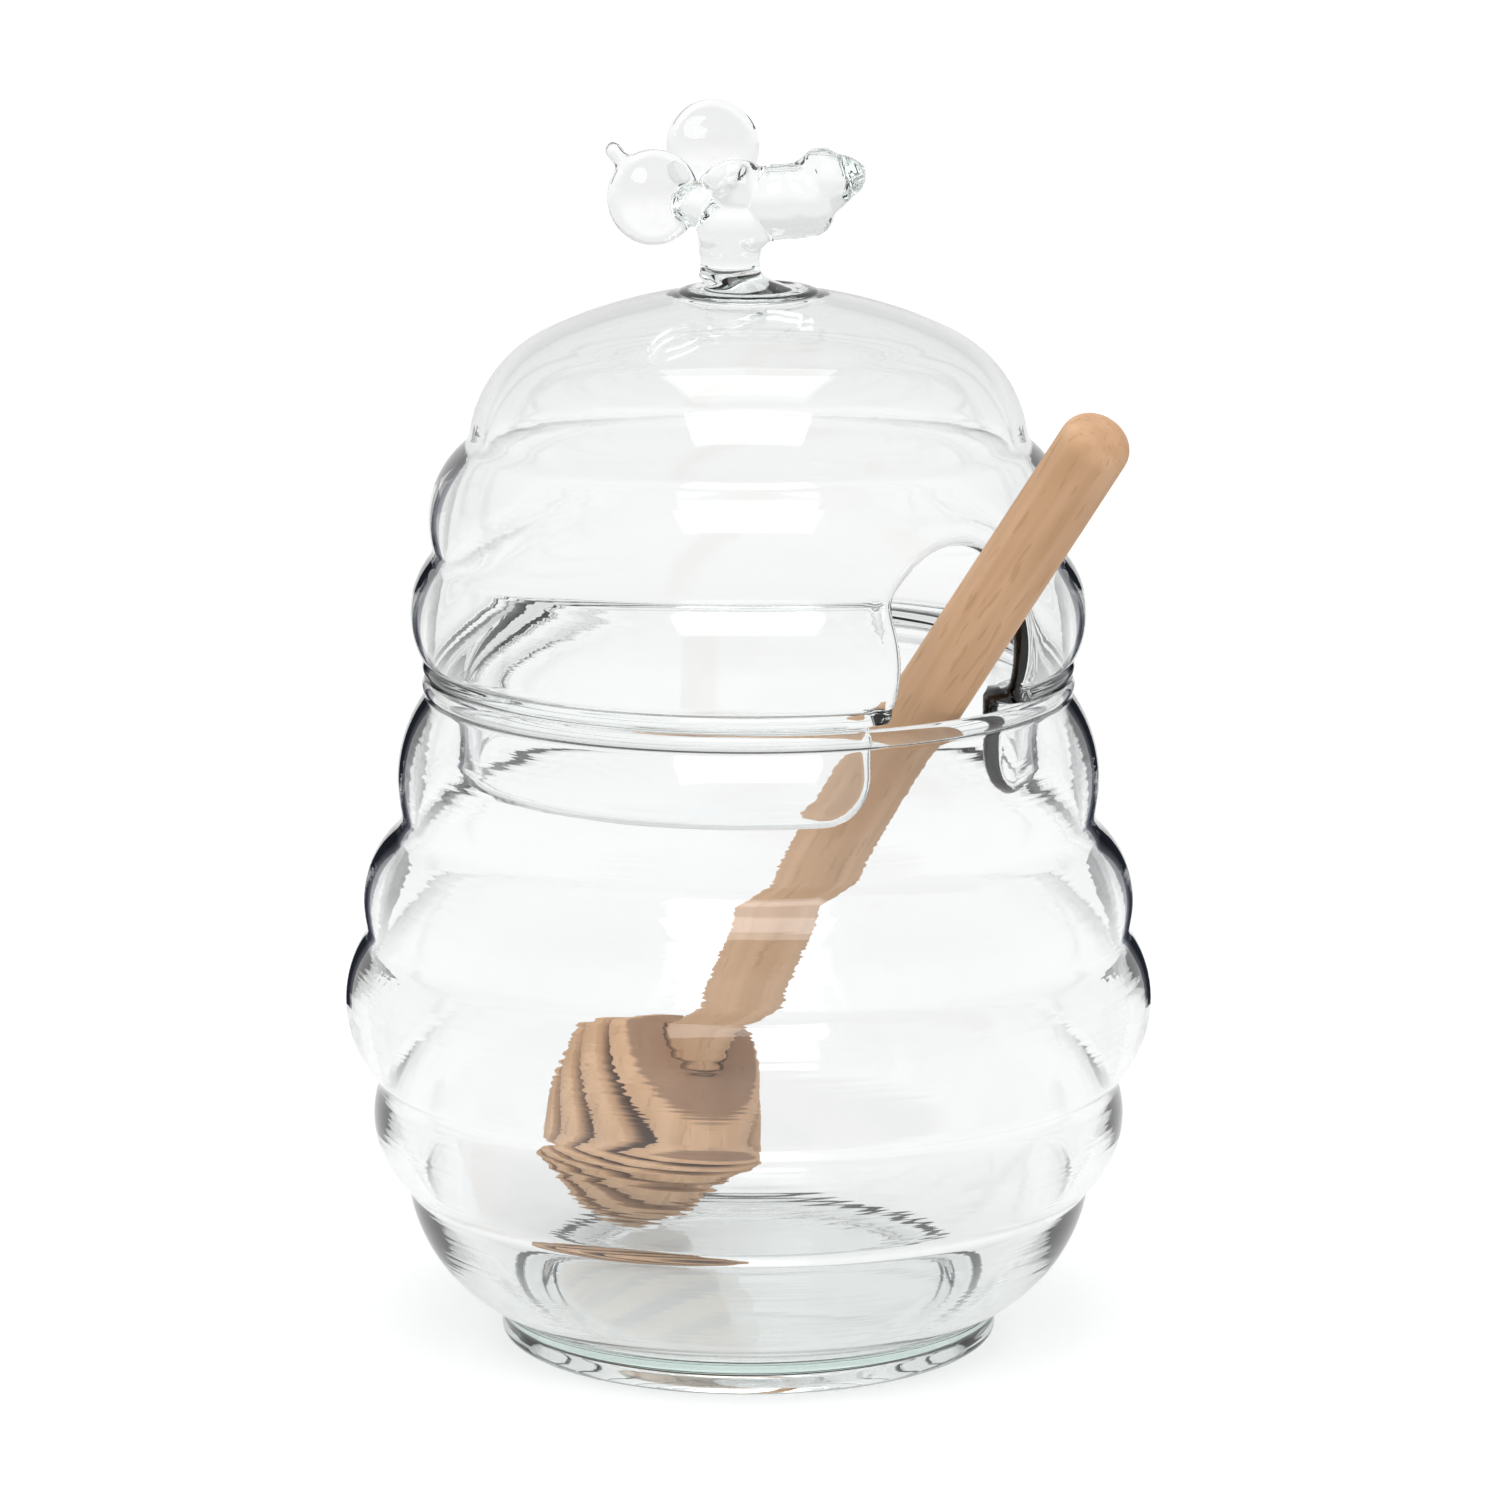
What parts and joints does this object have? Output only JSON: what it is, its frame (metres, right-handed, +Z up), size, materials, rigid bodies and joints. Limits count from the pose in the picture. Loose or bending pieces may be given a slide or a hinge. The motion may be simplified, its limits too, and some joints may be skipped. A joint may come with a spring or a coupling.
{
  "type": "honey jar",
  "caption": "Clear ribbed glass honey jar shaped like a beehive, with a slotted glass lid, a bee finial and a wooden honey dipper leaning inside.",
  "frame": {"origin": "centre of the jar's round foot, on the surface it stands on", "axes": "+Z up along the jar's axis; the front faces -Y; the lid's slot and the dipper's handle point to the front right, between +X and -Y"},
  "size_m": [0.1076, 0.1106, 0.1658],
  "materials": {
    "jar_glass": "clear, smooth, blown",
    "lid_glass": "clear, smooth, lampworked on top",
    "beech": "sanded, bare, turned"
  },
  "bodies": {
    "root": {"jar": "jar_glass", "lid": "lid_glass", "dipper": "beech"}
  },
  "joints": []
}
